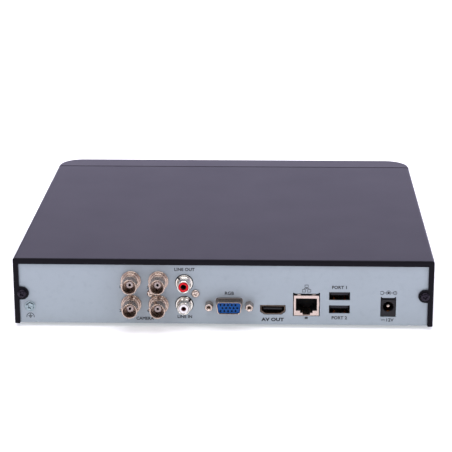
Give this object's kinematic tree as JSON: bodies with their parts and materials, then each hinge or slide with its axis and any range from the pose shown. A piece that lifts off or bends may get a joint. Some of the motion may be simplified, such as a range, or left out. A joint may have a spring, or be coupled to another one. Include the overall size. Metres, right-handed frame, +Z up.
{
  "type": "desktop video recorder",
  "caption": "Flat black steel video recorder for cameras, with coaxial video, audio, monitor, network, USB and power sockets on its rear panel and a hard disk drive inside.",
  "frame": {"origin": "on the surface the recorder stands on, under the middle of its overall box", "axes": "+Z up, +Y out of the rear connector panel, +X towards the coaxial video sockets' end of the panel"},
  "size_m": [0.26, 0.2524, 0.0447],
  "materials": {
    "black_paint": "fine satin powder coat",
    "panel_paint": "satin blue-grey zinc-coated steel",
    "black_plastic": "fine moulded grain",
    "rubber": "matt",
    "nickel": "bright nickel plate",
    "zinc": "blue-white zinc plate",
    "black_screw": "black oxide",
    "white_plastic": "satin",
    "red_plastic": "gloss",
    "blue_plastic": "satin",
    "circuit_board": "solder mask",
    "aluminium": "extruded, satin",
    "cast_aluminium": "die cast",
    "polished_metal": "mirror polish",
    "clear_plastic": "clear",
    "smoked_plastic": "smoked, polished",
    "red_cable": "extruded PVC",
    "yellow_cable": "extruded PVC",
    "grey_cable": "extruded PVC"
  },
  "bodies": {
    "case": {"chassis": "panel_paint", "front_bezel": "black_plastic", "video_block": "black_plastic", "audio_block": "black_plastic", "digital_video_tongue": "black_plastic", "network_insert": "black_plastic", "usb_tongue_lower": "black_plastic", "usb_tongue_upper": "black_plastic", "power_jack": "black_plastic", "processor": "black_plastic", "battery_holder": "black_plastic", "buzzer": "black_plastic", "data_header": "black_plastic", "foot_front_left": "rubber", "foot_rear_left": "rubber", "foot_front_right": "rubber", "foot_rear_right": "rubber", "audio_block_screw": "nickel", "video_block_screw": "nickel", "video_socket_1": "nickel", "video_socket_2": "nickel", "video_socket_3": "nickel", "video_socket_4": "nickel", "audio_sleeve_out": "nickel", "audio_sleeve_in": "nickel", "dsub_shell": "nickel", "dsub_jack_screw_left": "nickel", "dsub_jack_screw_right": "nickel", "digital_video_shell": "nickel", "network_shield": "nickel", "usb_shell": "nickel", "power_jack_pin": "nickel", "ground_screw": "zinc", "video_dielectric_1": "white_plastic", "video_dielectric_2": "white_plastic", "video_dielectric_3": "white_plastic", "video_dielectric_4": "white_plastic", "audio_insulator_in": "white_plastic", "power_header": "white_plastic", "indicator_header": "white_plastic", "audio_insulator_out": "red_plastic", "dsub_insert": "blue_plastic", "main_board": "circuit_board", "indicator_board": "circuit_board", "drive_board": "circuit_board", "heat_sink": "aluminium", "drive_lid": "aluminium", "drive_base": "cast_aluminium", "battery_cell": "polished_metal", "light_pipe": "clear_plastic", "front_window": "smoked_plastic", "data_cable": "red_cable", "power_cable": "yellow_cable", "indicator_cable": "grey_cable"},
    "cover": {"top_cover": "black_paint", "cover_screw_left": "black_screw", "cover_screw_right": "black_screw"},
    "platters": {"drive_platters": "polished_metal"},
    "head_arm": {"drive_head_arm": "aluminium"}
  },
  "joints": [
    {"name": "cover_slide", "type": "slide", "parent": "case", "child": "cover", "axis": [0, 1, 0], "range_m": [0, 0.21]},
    {"name": "platter_spin", "type": "hinge", "parent": "case", "child": "platters", "pos_m": [-0.0695, -0.0505, 0.02], "axis": [0, 0, 1], "continuous": true},
    {"name": "head_arm_swing", "type": "hinge", "parent": "case", "child": "head_arm", "pos_m": [-0.0125, -0.0265, 0.02], "axis": [0, 0, 1], "range_deg": [0, 24]}
  ]
}
